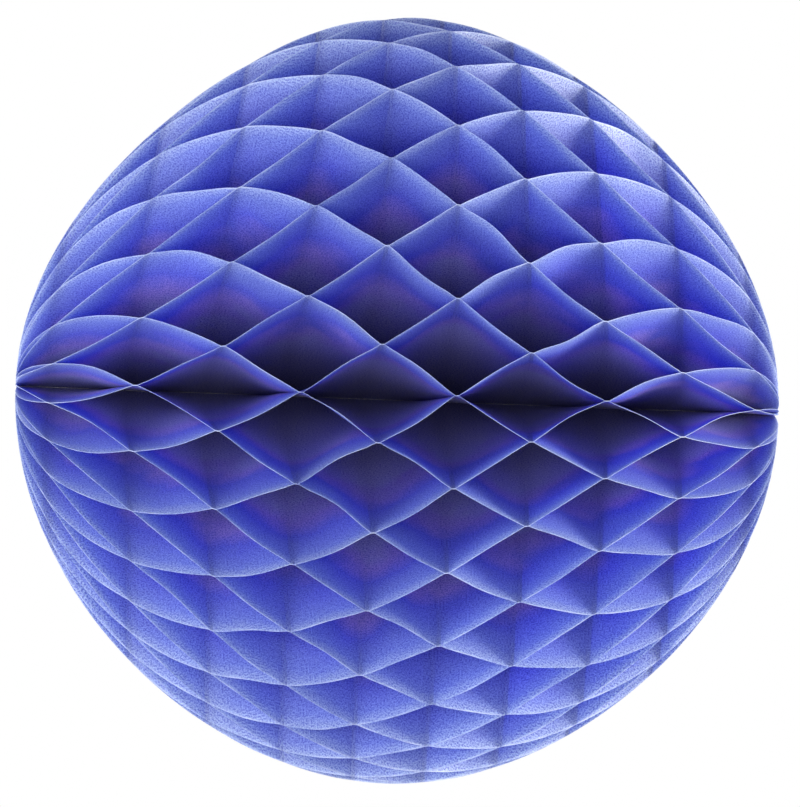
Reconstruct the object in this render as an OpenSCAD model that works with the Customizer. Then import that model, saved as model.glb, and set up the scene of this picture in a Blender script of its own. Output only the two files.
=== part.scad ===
// Honeycomb paper ball, opened all the way round.
// Half-disc tissue leaves stand round one straight spine. Each leaf is glued to the leaf before it and
// to the leaf after it along alternate lines square to the spine, so the open ball is a ring of diamond
// cells. The first and the last leaf are glued to two half-disc cover cards, which meet back to back.
// Millimetres, +Z up. The spine lies along X, the covers meet at the back (+Y), the origin is the centre.

/* [Ball] */
// Length of the spine, which is the straight side of a half-disc leaf
ball_d = 150; // [110:1:200]
// Number of tissue leaves between the two covers
leaf_count = 57; // [48:1:57]
// How much wider than the average the leaves stand apart at the top, as a share
top_spread = 0.155; // [0:0.005:0.2]
// Angle of the seam between the covers, counted from the back upwards
seam_angle = -22; // [-30:0.1:30]

/* [Honeycomb] */
// Number of glue lines from one end of the spine to the other
glue_lines = 10; // [8:2:12]
// Width of a glue line at the rim, where two leaves lie face to face
glue_w = 0.8; // [0.4:0.1:2]
// How far the free corner of a leaf swings back to the middle of its slot, as a share
corner_swing = 0.7; // [0.3:0.05:1]

/* [Paper] */
// Thickness of a tissue leaf
paper_t = 0.06; // [0.04:0.01:0.08]
// Thickness of a cover card
card_t = 0.35; // [0.2:0.05:0.5]

/* [Spine] */
// Diameter of the binding thread along the spine
thread_d = 1.6; // [1.2:0.1:2.4]
// Clearance between the thread and the inner edges of the leaves
thread_clear = 0.05; // [0.02:0.01:0.1]
// How far each end of the thread stays inside the end of the spine
thread_inset = 0.4; // [0.2:0.1:1]

/* [Hidden] */
$fn = 128;
radius = ball_d / 2;
pitch = ball_d / glue_lines;
last_line = glue_lines - 1;
// distance from the spine axis at which all leaves and covers just fit side by side
packed_r = (leaf_count * paper_t / (1 - top_spread) + 2 * card_t) / (2 * PI);
packing_room = 1.1;
spine_r = max(thread_d / 2 + thread_clear, packing_room * packed_r);
inner_count = glue_lines + 2;
rim_count = 3 * glue_lines + 1;
side_count = inner_count + rim_count + last_line;
tissue_color = [0.29, 0.32, 0.80];
card_color = [0.23, 0.26, 0.66];
thread_color = [0.93, 0.92, 0.89];

function leaf_name(i) = str("leaf_", i < 10 ? "0" : "", i);

// share of the whole turn from the seam to glue plane j, over the top first
function turn_share(j) = j / leaf_count + top_spread / (2 * PI) * (1 - cos(360 * j / leaf_count));

// angle that one cover takes up at distance r from the spine
function cover_angle(r) = asin(card_t / r);

// angle of glue plane j from the seam at distance r from the spine
function plane_angle(j, r) = cover_angle(r) + (360 - 2 * cover_angle(r)) * turn_share(j);

// distance between neighbouring glue planes near plane j at distance r
function plane_gap(j, r) = 2 * PI * r / leaf_count * (1 + top_spread * sin(360 * j / leaf_count));

// share of its flat length that the paper keeps along the spine, because it can't stretch over the cells
function kept_length(j, r) = sqrt(max(0.1, 1 - pow(plane_gap(j, r) / pitch, 2)));

// place of glue line k along the spine, and the distance from the spine to the rim of the flat leaf there
function line_x(k) = (k - last_line / 2) * pitch;
function rim_r(x) = sqrt(radius * radius - x * x);

// 1 where leaf i is glued to the leaf after it, 0 where it is glued to the leaf before it
function glued_side(i, k) = (i + k) % 2 == 0 ? 1 : 0;

// the glue plane that leaf i reaches at line k
function glued_plane(i, k) = i - 1 + glued_side(i, k);

// point at x along the spine, r from it and angle a from the seam
function turned(x, r, a) = [x, r * cos(seam_angle + a), r * sin(seam_angle + a)];

// point of leaf i on its face (0 or 1), a share across its slot, at distance r and place x
function leaf_point(i, face, share, r, x) =
  let (paper_a = paper_t / r * 180 / PI)
  let (low = plane_angle(i - 1, r))
  let (room = plane_angle(i, r) - low - paper_a)
  turned(x, r, low + share * room + face * paper_a);

// rim point at one edge of glue line k, where end is -1 or 1
function band_point(i, face, k, end) =
  let (r = rim_r(line_x(k) + end * glue_w / 2))
  let (x = line_x(k) * kept_length(glued_plane(i, k), r) + end * glue_w / 2)
  leaf_point(i, face, glued_side(i, k), r, x);

// rim point half way between lines k - 1 and k
function middle_point(i, face, k) =
  let (x = (line_x(k - 1) + line_x(k)) / 2)
  let (r = rim_r(x))
  leaf_point(i, face, 0.5, r, x * kept_length(i - 0.5, r));

// rim point half way round the free corner at one end of the spine
function corner_point(i, face, end) =
  let (k = end < 0 ? 0 : last_line)
  let (a = (asin((last_line * pitch + glue_w) / ball_d) + 90) / 2)
  let (r = radius * cos(a))
  let (share = glued_side(i, k) * (1 - corner_swing) + 0.5 * corner_swing)
  leaf_point(i, face, share, r, end * radius * sin(a) * kept_length(i - 0.5, r));

// point in the middle of the twisted panel between lines k and k + 1
function panel_point(i, face, k) =
  let (x = (line_x(k) + line_x(k + 1)) / 2)
  let (r = (spine_r + rim_r(x)) / 2)
  leaf_point(i, face, 0.5, r, x * kept_length(i - 0.5, r));

// rim points in order from one end to the other: the corner, then two for each line and one between lines
function rim_point(i, face, n) =
  let (k = floor(n / 3))
  n % 3 == 1 ? band_point(i, face, k, -1) :
  n % 3 == 2 ? band_point(i, face, k, 1) :
  n == 0 ? corner_point(i, face, -1) :
  n == rim_count - 1 ? corner_point(i, face, 1) :
  middle_point(i, face, k);

// points of leaf i along the spine, from one end to the other
function spine_point(i, face, n) =
  n == 0 ? leaf_point(i, face, 0.5, spine_r, -rim_r(spine_r)) :
  n == inner_count - 1 ? leaf_point(i, face, 0.5, spine_r, rim_r(spine_r)) :
  leaf_point(i, face, glued_side(i, n - 1), spine_r, line_x(n - 1));

// all points of one face of leaf i: along the spine, round the rim, then the panel middles
function leaf_face(i, face) = concat(
  [for (n = [0:inner_count - 1]) spine_point(i, face, n)],
  [for (n = [0:rim_count - 1]) rim_point(i, face, n)],
  [for (k = [0:last_line - 1]) panel_point(i, face, k)]);

// where the rim points and the panel middles start in that list
function rim_at(n) = inner_count + n;
function panel_at(k) = inner_count + rim_count + k;

// triangles of one face: the glue lines, the panels between them, and the two free corners
function face_triangles() = concat(
  [for (k = [0:last_line]) [k + 1, rim_at(3 * k + 1), rim_at(3 * k + 2)]],
  [for (k = [0:last_line - 1]) [k + 1, rim_at(3 * k + 2), panel_at(k)]],
  [for (k = [0:last_line - 1]) [rim_at(3 * k + 2), rim_at(3 * k + 3), panel_at(k)]],
  [for (k = [0:last_line - 1]) [rim_at(3 * k + 3), rim_at(3 * k + 4), panel_at(k)]],
  [for (k = [0:last_line - 1]) [rim_at(3 * k + 4), k + 2, panel_at(k)]],
  [for (k = [0:last_line - 1]) [k + 2, k + 1, panel_at(k)]],
  [[0, rim_at(0), 1], [rim_at(0), rim_at(1), 1]],
  [[glue_lines, rim_at(rim_count - 2), rim_at(rim_count - 1)]],
  [[glue_lines, rim_at(rim_count - 1), inner_count - 1]]);

// the outline of a face, once round
function outline() = concat(
  [0],
  [for (n = [0:rim_count - 1]) rim_at(n)],
  [for (n = [inner_count - 1:-1:1]) n]);

// the paper's edge, two triangles for each step of the outline
function edge_triangles(loop) = [
  for (n = [0:len(loop) - 1])
    let (a = loop[n])
    let (b = loop[(n + 1) % len(loop)])
    each [[b, a, a + side_count], [b, a + side_count, b + side_count]]];

function far_face(triangles) = [for (t = triangles) [t[0] + side_count, t[2] + side_count, t[1] + side_count]];

// one tissue leaf, folded to and fro between its two glue planes
module leaf(i) {
  color(tissue_color)
    polyhedron(
      points = concat(leaf_face(i, 0), leaf_face(i, 1)),
      faces = concat(face_triangles(), far_face(face_triangles()), edge_triangles(outline())));
}

// outline of a cover card: the half disc of a leaf, cut back to clear the thread
module cover_outline() {
  intersection() {
    circle(r = radius);
    translate([-radius, spine_r])
      square([ball_d, radius]);
  }
}

// cover card on the side of the first leaf
module cover_first() {
  color(card_color)
    rotate([seam_angle, 0, 0])
      linear_extrude(card_t)
        cover_outline();
}

// cover card on the side of the last leaf
module cover_last() {
  color(card_color)
    rotate([seam_angle, 0, 0])
      translate([0, 0, -card_t])
        linear_extrude(card_t)
          cover_outline();
}

// thread that binds the leaves along the spine
module spine_thread() {
  color(thread_color)
    rotate([0, 90, 0])
      cylinder(d = thread_d, h = ball_d - 2 * thread_inset, center = true);
}

for (i = [1:leaf_count])
  leaf(i);
cover_first();
cover_last();
spine_thread();
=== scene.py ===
"""Honeycomb paper ball: tissue leaves glued along alternate lines round a straight spine.

The spine lies along X and the ball's centre is the origin. Every leaf is a smooth, slightly uneven sheet
that keeps to the glue lines of the CAD leaf it replaces. All lengths are in metres.
"""

import math

import bpy
import numpy as np
from mathutils import Matrix, Vector


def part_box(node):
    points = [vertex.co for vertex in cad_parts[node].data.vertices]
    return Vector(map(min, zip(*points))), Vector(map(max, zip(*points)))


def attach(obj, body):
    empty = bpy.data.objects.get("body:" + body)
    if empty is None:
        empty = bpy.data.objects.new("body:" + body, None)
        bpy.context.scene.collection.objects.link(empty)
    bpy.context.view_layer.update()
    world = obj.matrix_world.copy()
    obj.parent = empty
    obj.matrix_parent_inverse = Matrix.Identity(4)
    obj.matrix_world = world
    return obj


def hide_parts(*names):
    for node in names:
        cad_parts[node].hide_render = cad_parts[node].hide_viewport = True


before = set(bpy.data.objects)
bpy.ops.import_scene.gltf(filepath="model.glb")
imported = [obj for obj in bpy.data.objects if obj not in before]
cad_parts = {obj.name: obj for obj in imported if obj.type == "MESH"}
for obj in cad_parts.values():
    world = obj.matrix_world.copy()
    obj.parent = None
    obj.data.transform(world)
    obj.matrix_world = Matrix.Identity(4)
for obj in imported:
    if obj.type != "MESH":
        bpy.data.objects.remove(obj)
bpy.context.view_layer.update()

# Sizes of the ball, the same as in the CAD
MM = 0.001
GLUE_LINES = 10
GLUE_WIDTH = 0.8 * MM
TOP_SPREAD = 0.155
SEAM_ANGLE = math.radians(-22)
PAPER = 0.06 * MM
CARD = 0.35 * MM
THREAD_CLEAR = 0.05 * MM

LEAVES = sorted(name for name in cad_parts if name.startswith("leaf_"))
THREAD_LOW, THREAD_HIGH = (np.array(corner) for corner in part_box("spine_thread"))
RADIUS = float(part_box("cover_first")[1].x)
THREAD_R = float(THREAD_HIGH[1] - THREAD_LOW[1]) / 2
SPINE_R = THREAD_R + THREAD_CLEAR
PITCH = 2 * RADIUS / GLUE_LINES
LAST_LINE = (GLUE_LINES - 1) / 2 * PITCH

# Folds: how far in from the rim they are fully rounded, and what is cut off the sharp corners of a leaf
FOLD_DEPTH = 20 * MM
CORNER_CUT = 0.05 * MM

# Bow of single rims: its usual size, and the power with which it fades inwards
RIM_BOW = 0.5 * MM
RIM_BOW_FADE = 5
SEED = 11

# Slow unevenness of the fan: the size of one wave, the power that holds the seam still, and the phases
WOBBLE = 0.35 * MM
SEAM_HOLD = 12
PHASE_ROUND = 1.0
PHASE_ALONG = 2.5

# Each wave's turn for a radius along the spine, its number round the spine, and its share of the phase
WAVES = ((2.1, 2, 1), (4.3, -3, 2), (3.2, 5, 3))

# Thread: the length of one twist, the number of plies, and the swing of its radius as a share of the greatest
THREAD_LAY = 3.2 * MM
PLIES = 2
PLY_DEPTH = 0.14

# Fineness of the meshes, and the angle from which an edge is a crease
PANEL_STEPS = 8
CORNER_STEPS = 8
RADIAL_STEPS = 14
THREAD_RINGS = 240
THREAD_SIDES = 24
CREASE_ANGLE = math.radians(12)

# Points this close to the middle of a glue line are on it: half its width and a little more
GLUE_REACH = 0.505 * GLUE_WIDTH

# Dye of the tissue with painted shading, at shares of a greatest clouded depth below the rim: painted light
# pale near the rim, painted shade at mid depth and a paler violet painted lift deep in; and the tint of its
# fibres and glue
PAINTED_SHADING_DEPTH = 12 * MM
DYE_AND_PAINTED_SHADING_TONES = (
    (0.0, (0.58, 0.70, 0.89, 1)),
    (0.12, (0.36, 0.46, 0.89, 1)),
    (0.42, (0.26, 0.30, 0.94, 1)),
    (0.70, (0.58, 0.45, 0.95, 1)),
    (1.0, (0.62, 0.60, 0.95, 1)))
FIBRE_TONES = (
    (0.36, (0.32, 0.32, 0.72, 1)),
    (0.60, (1.0, 1.0, 1.0, 1)))
GLUE_STAIN = (0.90, 0.90, 0.95, 1)

# Noises of the tissue: cells in one ball radius, finer layers, and the strength of these; the clouds vary the
# depth of the painted shading, the rim patches vary the painted rim highlight, and the fibres are its grain
CLOUDS = (5.0, 3.0, 0.55)
RIM_HIGHLIGHT_PATCHES = (9.0, 2.0, 0.6)
FIBRES = (230.0, 2.0, 0.6)

# Painted highlight along the cut rims: its colour, width and share, and for its faint and pale patches their
# noise level and strength
PAINTED_RIM_HIGHLIGHT = (0.76, 0.82, 0.97, 1)
PAINTED_RIM_HIGHLIGHT_WIDTH = 0.5 * MM
PAINTED_RIM_HIGHLIGHT_SHARE = 0.4
FAINT_HIGHLIGHT_PATCH = (0.38, 0.25)
PALE_HIGHLIGHT_PATCH = (0.62, 1.9)

# Surface of the tissue: its finish, its fibre bump's strength and depth, and how much light it lets through
TISSUE_FINISH = {"Roughness": 0.5, "Specular IOR Level": 0.9, "Sheen Weight": 0.05, "Sheen Roughness": 0.4}
FIBRE_BUMP = (0.4, 0.15 * MM)
LIGHT_THROUGH = 0.5

# Plain finishes: dark tone, light tone, noise cells in a metre, and roughness
CARD_FINISH = ((0.07, 0.085, 0.40, 1), (0.10, 0.12, 0.50, 1), 900.0, 0.7)
COTTON_FINISH = ((0.62, 0.60, 0.54, 1), (0.86, 0.84, 0.79, 1), 4000.0, 0.9)
FLOOR_FINISH = ((0.82, 0.82, 0.82, 1), (0.86, 0.86, 0.86, 1), 12.0, 0.9)

# Their noise levels for the two tones, finer layers and strength of these, and bump strength and depth
DARK_LEVEL, LIGHT_LEVEL = 0.3, 0.7
PLAIN_LAYERS, PLAIN_STRENGTH = 5.0, 0.65
PLAIN_BUMP = (0.3, 0.1 * MM)

# Picture: the photo's size, and the ball's scale, place and turn in it
PICTURE_WIDTH, PICTURE_HEIGHT = 800, 807
PIXELS_PER_RADIUS = 378.6
CENTRE_X, CENTRE_Y = 397.8, 400.5
CAMERA_DISTANCE = 6.4 * RADIUS
CAMERA_TURN = math.radians(2.54)
CAMERA_ROLL = math.radians(2.14)

# Studio: the floor, the room's light on the ball, and the white that is seen
FLOOR_HALF = 3.4 * RADIUS
FLOOR_Z = -1.7 * RADIUS
ROOM_LIGHT = 0.45
ROOM_SEEN = 1.0
WHITE = (1, 1, 1, 1)

# Lamps: place and width in ball radii, power in watts, and tint
WARM, NEUTRAL, COOL = (1.0, 0.98, 0.86), (1.0, 1.0, 1.0), (0.92, 0.96, 1.0)
LAMPS = (
    ("key", (5.0, -0.3, -0.4), 2.0, 2.2, WARM),
    ("left", (-4.7, 1.7, 0.0), 2.0, 0.8, COOL),
    ("left_front", (-4.0, -3.0, -0.8), 3.0, 0.85, COOL),
    ("front", (-0.4, -5.2, -0.5), 2.0, 0.75, NEUTRAL))


def turn_share(plane):
    """Share of the whole turn from the seam to a glue plane: even steps, plus a term that widens the top."""
    even = plane / len(LEAVES)
    return even + TOP_SPREAD / (2 * np.pi) * (1 - np.cos(2 * np.pi * even))


def plane_angle(plane, r):
    """Angle of a glue plane from the seam at distance r.

    Each cover takes the angle whose sine is its thickness over r, and the leaves share the rest of the turn.
    """
    cover = np.arcsin(CARD / r)
    return cover + (2 * np.pi - 2 * cover) * turn_share(plane)


def kept_length(plane, r):
    """Share of the flat length left along the spine: root of one minus the square of cell gap over pitch."""
    widened = 1 + TOP_SPREAD * np.sin(2 * np.pi * plane / len(LEAVES))
    gap = 2 * np.pi * r / len(LEAVES) * widened
    return np.sqrt(1 - (gap / PITCH) ** 2)


def rim_radius(along):
    """Distance from the spine to the flat leaf's rim: root of the radius squared less the place squared."""
    return np.sqrt(RADIUS ** 2 - along ** 2)


def line_place(along):
    """Place along the spine counted in glue lines, with 0 at the first line."""
    return along / PITCH + (GLUE_LINES - 1) / 2


def flat_grid():
    """Flat coordinates of a half-disc leaf as two grids: place along the spine, and distance from the spine.

    Columns run from end to end with one on each edge of every glue line, and rows run from the spine to the
    rim, which is the circle of the ball's radius.
    """
    line = (np.arange(GLUE_LINES) - (GLUE_LINES - 1) / 2) * PITCH
    panel = np.linspace(GLUE_WIDTH / 2, PITCH - GLUE_WIDTH / 2, PANEL_STEPS + 1)
    middle = np.concatenate([line[:-1, None] + panel, line[:-1, None] + PITCH], axis=1)
    first_turn = np.arcsin((LAST_LINE + GLUE_WIDTH / 2) / RADIUS)
    last_turn = np.arcsin(1 - CORNER_CUT / RADIUS)
    corner = RADIUS * np.sin(np.linspace(last_turn, first_turn, CORNER_STEPS + 1))
    along = np.concatenate([-corner, line[:1], middle.ravel()[:-1], line[-1:], corner[::-1]])
    row = np.linspace(0, 1, RADIAL_STEPS + 1)
    out = SPINE_R + row[None, :] * (rim_radius(along)[:, None] - SPINE_R)
    return np.broadcast_to(along[:, None], out.shape), out


def fold_share(number, along, out):
    """Share across the leaf's slot, 0 at the leaf before and 1 at the leaf after.

    Between glue lines it goes from one side to the other, as a straight line at the rim and more and more as
    a smooth step towards the spine. Past the last line it goes straight to the middle of the slot.
    """
    place = line_place(along)
    before = np.clip(np.floor(place), 0, GLUE_LINES - 2)
    half_band = GLUE_WIDTH / 2 / PITCH
    step = np.clip((place - before - half_band) / (1 - 2 * half_band), 0, 1)
    rounding = np.clip((rim_radius(along) - out) / FOLD_DEPTH, 0, 1)
    step = (1 - rounding) * step + rounding * step ** 2 * (3 - 2 * step)
    start = (number + before + 1) % 2
    share = start + (1 - 2 * start) * step
    past = np.clip((np.abs(along) - LAST_LINE - GLUE_WIDTH / 2) / (RADIUS - LAST_LINE), 0, 1)
    return share + (0.5 - share) * past


def bowed(number, along, out):
    """Small bow of the free rim: a squared sine between glue lines, its own in each cell, fading inwards."""
    place = line_place(along)
    cell = np.clip(np.floor(place), -1, GLUE_LINES - 1).astype(int) + 1
    size = np.random.default_rng(SEED + number).normal(0, RIM_BOW, GLUE_LINES + 1)
    near_rim = out / rim_radius(along)
    return size[cell] * np.sin(np.pi * (place - np.floor(place))) ** 2 * near_rim ** RIM_BOW_FADE


def wobble(along, angle, out, phase):
    """Slow unevenness of the whole fan: a sum of sine waves along the spine and round it.

    It grows with the square of the distance from the spine, and a power of a cosine holds the seam still.
    """
    x = along / RADIUS
    waves = sum(np.sin(ripple * x + round_spine * angle + lag * phase) for ripple, round_spine, lag in WAVES)
    at_seam = np.cos(angle / 2) ** SEAM_HOLD
    return WOBBLE * waves * (1 - at_seam) * (out / RADIUS) ** 2


def leaf_side(number, side):
    """One side of a leaf: the flat grid carried to its place between two glue planes.

    The angle is that of the glue plane before, plus the fold's share of the slot, plus the paper's thickness
    on the far side. The place along the spine shrinks with the kept length.
    """
    along, out = flat_grid()
    share = fold_share(number, along, out)
    before, after = plane_angle(number - 1, out), plane_angle(number, out)
    thick = PAPER / out
    angle = before + share * (after - before - thick) + side * thick + bowed(number, along, out) / out
    angle = angle + wobble(along, angle, out, PHASE_ROUND) / out
    x = along * kept_length(number - 1 + share, out) + wobble(along, angle, out, PHASE_ALONG)
    turned = SEAM_ANGLE + angle
    return np.stack([x, out * np.cos(turned), out * np.sin(turned)], axis=-1)


def cover_side(height):
    """One side of a cover card: the flat half disc at a height above the plane of the seam."""
    along, out = flat_grid()
    level = np.full_like(out, height)
    y = out * math.cos(SEAM_ANGLE) - level * math.sin(SEAM_ANGLE)
    z = out * math.sin(SEAM_ANGLE) + level * math.cos(SEAM_ANGLE)
    return np.stack([along, y, z], axis=-1)


def sheet_faces(columns, rows):
    """Quads of a thin closed sheet: two grids of points, and a strip round the edge that joins them."""
    index = np.arange(columns * rows).reshape(columns, rows)
    near = np.stack([index[:-1, :-1], index[1:, :-1], index[1:, 1:], index[:-1, 1:]], -1).reshape(-1, 4)
    far = near[:, ::-1] + columns * rows
    ring = np.concatenate([index[:-1, 0], index[-1, :-1], index[:0:-1, -1], index[0, :0:-1]])
    next_ring = np.roll(ring, -1)
    edge = np.stack([next_ring, ring, ring + columns * rows, next_ring + columns * rows], -1)
    return np.concatenate([near, far, edge]).tolist()


def new_piece(name, node, points, faces, material):
    """A mesh object at the origin that stands for one CAD node."""
    mesh = bpy.data.meshes.new(name)
    mesh.from_pydata(points.reshape(-1, 3).tolist(), [], faces)
    mesh.polygons.foreach_set("use_smooth", np.ones(len(mesh.polygons), dtype=bool))
    mesh.set_sharp_from_angle(angle=CREASE_ANGLE)
    mesh.materials.append(material)
    piece = bpy.data.objects.new(name, mesh)
    bpy.context.scene.collection.objects.link(piece)
    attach(piece, "root")
    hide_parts(node)
    return piece


def set_flat_places(mesh, along, out):
    """Stores on both sides what the tissue has to know of the flat paper.

    That is a UV map in ball radii, the distance from the rim, and 1 on the glue lines.
    """
    place = line_place(along)
    line = np.clip(np.round(place), 0, GLUE_LINES - 1)
    glued = np.abs(place - line) * PITCH <= GLUE_REACH
    for name, values in (("from_rim", rim_radius(along) - out), ("glue", glued.astype(float))):
        layer = mesh.attributes.new(name, "FLOAT", "POINT")
        layer.data.foreach_set("value", np.tile(values.ravel(), 2).astype(np.float32))
    flat = np.tile(np.stack([along / RADIUS, out / RADIUS], -1).reshape(-1, 2), (2, 1))
    corner = np.empty(len(mesh.loops), dtype=np.int64)
    mesh.loops.foreach_get("vertex_index", corner)
    mesh.uv_layers.new(name="flat").data.foreach_set("uv", flat[corner].ravel().astype(np.float32))


def new_material(name):
    """A material with an empty node tree."""
    material = bpy.data.materials.new(name)
    material.use_nodes = True
    material.node_tree.nodes.clear()
    return material


def node_of(tree, kind, sockets=None, **settings):
    """Adds a shader node, with its settings and the constant values of its sockets."""
    made = tree.nodes.new(kind)
    for name, value in settings.items():
        setattr(made, name, value)
    for name, value in (sockets or {}).items():
        made.inputs[name].default_value = value
    return made


def noise_of(tree, place, cells, layers, strength):
    """A noise on a coordinate, with so many cells in its unit, and finer layers of some strength."""
    noise = node_of(tree, "ShaderNodeTexNoise", {"Scale": cells, "Detail": layers, "Roughness": strength})
    tree.links.new(place, noise.inputs["Vector"])
    return noise.outputs["Fac"]


def ranged(tree, value, start, end, interpolation="LINEAR"):
    """A result that follows a value from start to end, which are each a value and its result."""
    limits = {"From Min": start[0], "To Min": start[1], "From Max": end[0], "To Max": end[1]}
    made = node_of(tree, "ShaderNodeMapRange", limits, interpolation_type=interpolation)
    tree.links.new(value, made.inputs["Value"])
    return made.outputs["Result"]


def product(tree, first, second):
    """The product of two values."""
    made = node_of(tree, "ShaderNodeMath", operation="MULTIPLY")
    tree.links.new(first, made.inputs[0])
    tree.links.new(second, made.inputs[1])
    return made.outputs["Value"]


def toned(tree, value, tones):
    """A colour that goes through tones in turn as a value passes the level that is given with each tone."""
    ramp = node_of(tree, "ShaderNodeValToRGB")
    stops = ramp.color_ramp.elements
    while len(stops) < len(tones):
        stops.new(1.0)
    for stop, (level, colour) in zip(stops, tones):
        stop.position, stop.color = level, colour
    tree.links.new(value, ramp.inputs["Fac"])
    return ramp.outputs["Color"]


def tinted(tree, share, colour, tint, blend="MIX"):
    """A colour that is mixed with a constant tint, or multiplied by it, by a share."""
    made = node_of(tree, "ShaderNodeMix", {"B": tint}, data_type="RGBA", blend_type=blend)
    tree.links.new(share, made.inputs["Factor"])
    tree.links.new(colour, made.inputs["A"])
    return made.outputs["Result"]


def multiplied(tree, first, second):
    """The product of two colours."""
    made = node_of(tree, "ShaderNodeMix", {"Factor": 1.0}, data_type="RGBA", blend_type="MULTIPLY")
    tree.links.new(first, made.inputs["A"])
    tree.links.new(second, made.inputs["B"])
    return made.outputs["Result"]


def bumped(tree, height, strength, depth):
    """A normal that follows a height."""
    bump = node_of(tree, "ShaderNodeBump", {"Strength": strength, "Distance": depth})
    tree.links.new(height, bump.inputs["Height"])
    return bump.outputs["Normal"]


def tissue_colour(tree, fibre):
    """Colour of the tissue: its blue dye with painted shading by the depth below the rim, specked by fibres,
    and a painted highlight at its cut rims.

    The painted shading is pale near the rim, dark at mid depth and paler violet deep in, with its depth
    clouded; the glue lines are a little darker, and the painted rim highlight comes and goes in patches.
    """
    place = node_of(tree, "ShaderNodeTexCoord").outputs["Object"]
    from_rim = node_of(tree, "ShaderNodeAttribute", attribute_name="from_rim").outputs["Fac"]
    glue = node_of(tree, "ShaderNodeAttribute", attribute_name="glue").outputs["Fac"]
    cloud_cells, *cloud_layers = CLOUDS
    cloud = noise_of(tree, place, cloud_cells / RADIUS, *cloud_layers)
    # painted shading: the tone follows the clouded distance below the rim, painted light at the rim and
    # painted shade deeper in
    depth = ranged(tree, product(tree, from_rim, cloud), (0.0, 0.0), (PAINTED_SHADING_DEPTH, 1.0))
    colour = multiplied(tree, toned(tree, depth, DYE_AND_PAINTED_SHADING_TONES), toned(tree, fibre, FIBRE_TONES))
    colour = tinted(tree, glue, colour, GLUE_STAIN, "MULTIPLY")
    highlight_patch_cells, *highlight_patch_layers = RIM_HIGHLIGHT_PATCHES
    highlight_patch = noise_of(tree, place, highlight_patch_cells / RADIUS, *highlight_patch_layers)
    # painted highlight: a pale line along the cut rim, stronger or fainter in patches
    cut = ranged(tree, from_rim, (0.0, PAINTED_RIM_HIGHLIGHT_SHARE), (PAINTED_RIM_HIGHLIGHT_WIDTH, 0.0), "SMOOTHSTEP")
    uneven_rim_highlight = product(tree, cut, ranged(tree, highlight_patch, FAINT_HIGHLIGHT_PATCH, PALE_HIGHLIGHT_PATCH))
    return tinted(tree, uneven_rim_highlight, colour, PAINTED_RIM_HIGHLIGHT)


def tissue_material():
    """Dyed tissue with a fibre grain: a plain surface mixed with one that lets light shine through."""
    material = new_material("violet_blue_tissue")
    tree = material.node_tree
    link = tree.links.new
    flat = node_of(tree, "ShaderNodeUVMap", uv_map="flat").outputs["UV"]
    fibre = noise_of(tree, flat, *FIBRES)
    colour = tissue_colour(tree, fibre)
    normal = bumped(tree, fibre, *FIBRE_BUMP)
    front = node_of(tree, "ShaderNodeBsdfPrincipled", TISSUE_FINISH)
    through = node_of(tree, "ShaderNodeBsdfTranslucent")
    for shader, socket in ((front, "Base Color"), (through, "Color")):
        link(colour, shader.inputs[socket])
        link(normal, shader.inputs["Normal"])
    both = node_of(tree, "ShaderNodeMixShader", {"Fac": LIGHT_THROUGH})
    link(front.outputs["BSDF"], both.inputs[1])
    link(through.outputs["BSDF"], both.inputs[2])
    output = node_of(tree, "ShaderNodeOutputMaterial")
    link(both.outputs["Shader"], output.inputs["Surface"])
    return material


def plain_material(name, dark, light, cells, roughness):
    """A matte material whose colour goes between two tones with a fibrous noise, which is also its bump."""
    material = new_material(name)
    tree = material.node_tree
    link = tree.links.new
    place = node_of(tree, "ShaderNodeTexCoord").outputs["Object"]
    noise = noise_of(tree, place, cells, PLAIN_LAYERS, PLAIN_STRENGTH)
    surface = node_of(tree, "ShaderNodeBsdfPrincipled", {"Roughness": roughness})
    link(toned(tree, noise, ((DARK_LEVEL, dark), (LIGHT_LEVEL, light))), surface.inputs["Base Color"])
    link(bumped(tree, noise, *PLAIN_BUMP), surface.inputs["Normal"])
    output = node_of(tree, "ShaderNodeOutputMaterial")
    link(surface.outputs["BSDF"], output.inputs["Surface"])
    return material


def make_leaves():
    """All tissue leaves, each in the place of its CAD leaf."""
    tissue = tissue_material()
    along, out = flat_grid()
    faces = sheet_faces(*out.shape)
    for number, node in enumerate(LEAVES, 1):
        points = np.concatenate([leaf_side(number, 0), leaf_side(number, 1)])
        piece = new_piece("tissue_" + node, node, points, faces, tissue)
        set_flat_places(piece.data, along, out)


def make_covers():
    """The two cover cards, back to back in the plane of the seam."""
    card = plain_material("violet_blue_card", *CARD_FINISH)
    faces = sheet_faces(*flat_grid()[1].shape)
    for node, low in (("cover_first", 0.0), ("cover_last", -CARD)):
        points = np.concatenate([cover_side(low), cover_side(low + CARD)])
        new_piece("card_" + node, node, points, faces, card)


def make_thread():
    """The binding thread: twisted plies, so its radius is a mean plus a wave that turns along the spine."""
    cotton = plain_material("undyed_cotton", *COTTON_FINISH)
    x, turn = np.meshgrid(
        np.linspace(THREAD_LOW[0], THREAD_HIGH[0], THREAD_RINGS),
        np.linspace(0, 2 * np.pi, THREAD_SIDES, endpoint=False), indexing="ij")
    groove = np.cos(PLIES * (turn - 2 * np.pi * x / THREAD_LAY))
    r = THREAD_R * (1 - PLY_DEPTH + PLY_DEPTH * groove)
    points = np.stack([x, r * np.cos(turn), r * np.sin(turn)], -1)
    index = np.arange(x.size).reshape(x.shape)
    across = np.roll(index, -1, axis=1)
    sides = np.stack([across[:-1], across[1:], index[1:], index[:-1]], -1).reshape(-1, 4)
    faces = sides.tolist() + [index[0].tolist(), index[-1][::-1].tolist()]
    new_piece("twisted_thread", "spine_thread", points, faces, cotton)


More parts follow.
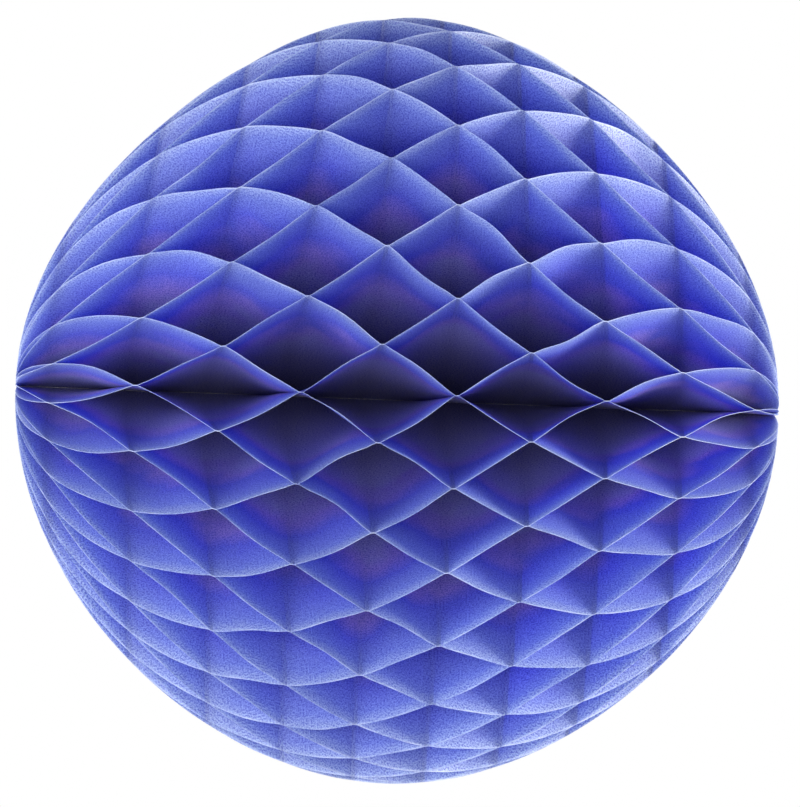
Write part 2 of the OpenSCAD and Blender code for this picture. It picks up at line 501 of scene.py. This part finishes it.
def make_camera():
    """Camera at the photo's viewing angle, aimed at the ball's centre and shifted as the photo's crop is."""
    data = bpy.data.cameras.new("camera")
    data.sensor_fit = "HORIZONTAL"
    data.lens = PIXELS_PER_RADIUS * CAMERA_DISTANCE / RADIUS / PICTURE_WIDTH * data.sensor_width
    data.shift_x = (PICTURE_WIDTH / 2 - CENTRE_X) / PICTURE_WIDTH
    data.shift_y = (CENTRE_Y - PICTURE_HEIGHT / 2) / PICTURE_WIDTH
    camera = bpy.data.objects.new("camera", data)
    bpy.context.scene.collection.objects.link(camera)
    level = Matrix.Translation((0, -CAMERA_DISTANCE, 0)) @ Matrix.Rotation(math.pi / 2, 4, "X")
    turned = Matrix.Rotation(-CAMERA_TURN, 4, "Z") @ Matrix.Rotation(-CAMERA_ROLL, 4, "Y")
    camera.matrix_world = turned @ level
    bpy.context.scene.camera = camera


def make_floor():
    """A pale square floor below the hanging ball."""
    mesh = bpy.data.meshes.new("floor")
    corners = [(-1, -1), (1, -1), (1, 1), (-1, 1)]
    mesh.from_pydata([(FLOOR_HALF * x, FLOOR_HALF * y, FLOOR_Z) for x, y in corners], [], [(0, 1, 2, 3)])
    mesh.materials.append(plain_material("pale_floor", *FLOOR_FINISH))
    floor = bpy.data.objects.new("floor", mesh)
    bpy.context.scene.collection.objects.link(floor)


def make_room():
    """An even light from all round, and a plain white wherever the room itself is seen.

    It is seen by the camera, in reflections, and through what lets light pass.
    """
    world = bpy.data.worlds.new("white_room")
    bpy.context.scene.world = world
    world.use_nodes = True
    tree = world.node_tree
    tree.nodes.clear()
    link = tree.links.new
    ray = node_of(tree, "ShaderNodeLightPath")
    seen = ray.outputs["Is Camera Ray"]
    for kind in ("Is Glossy Ray", "Is Transmission Ray"):
        either = node_of(tree, "ShaderNodeMath", operation="MAXIMUM")
        link(seen, either.inputs[0])
        link(ray.outputs[kind], either.inputs[1])
        seen = either.outputs["Value"]
    both = node_of(tree, "ShaderNodeMixShader")
    link(seen, both.inputs["Fac"])
    for strength, socket in ((ROOM_LIGHT, both.inputs[1]), (ROOM_SEEN, both.inputs[2])):
        background = node_of(tree, "ShaderNodeBackground", {"Color": WHITE, "Strength": strength})
        link(background.outputs["Background"], socket)
    output = node_of(tree, "ShaderNodeOutputWorld")
    link(both.outputs["Shader"], output.inputs["Surface"])


def make_lamps():
    """Soft square lamps round the ball, each turned to its centre."""
    for name, place, width, power, tint in LAMPS:
        data = bpy.data.lights.new(name, "AREA")
        data.energy, data.size, data.color = power, width * RADIUS, tint
        lamp = bpy.data.objects.new(name, data)
        bpy.context.scene.collection.objects.link(lamp)
        lamp.location = Vector(place) * RADIUS
        lamp.rotation_euler = lamp.location.to_track_quat("Z", "Y").to_euler()


make_leaves()
make_covers()
make_thread()
make_camera()
make_floor()
make_room()
make_lamps()
bpy.context.scene.view_settings.view_transform = "Standard"
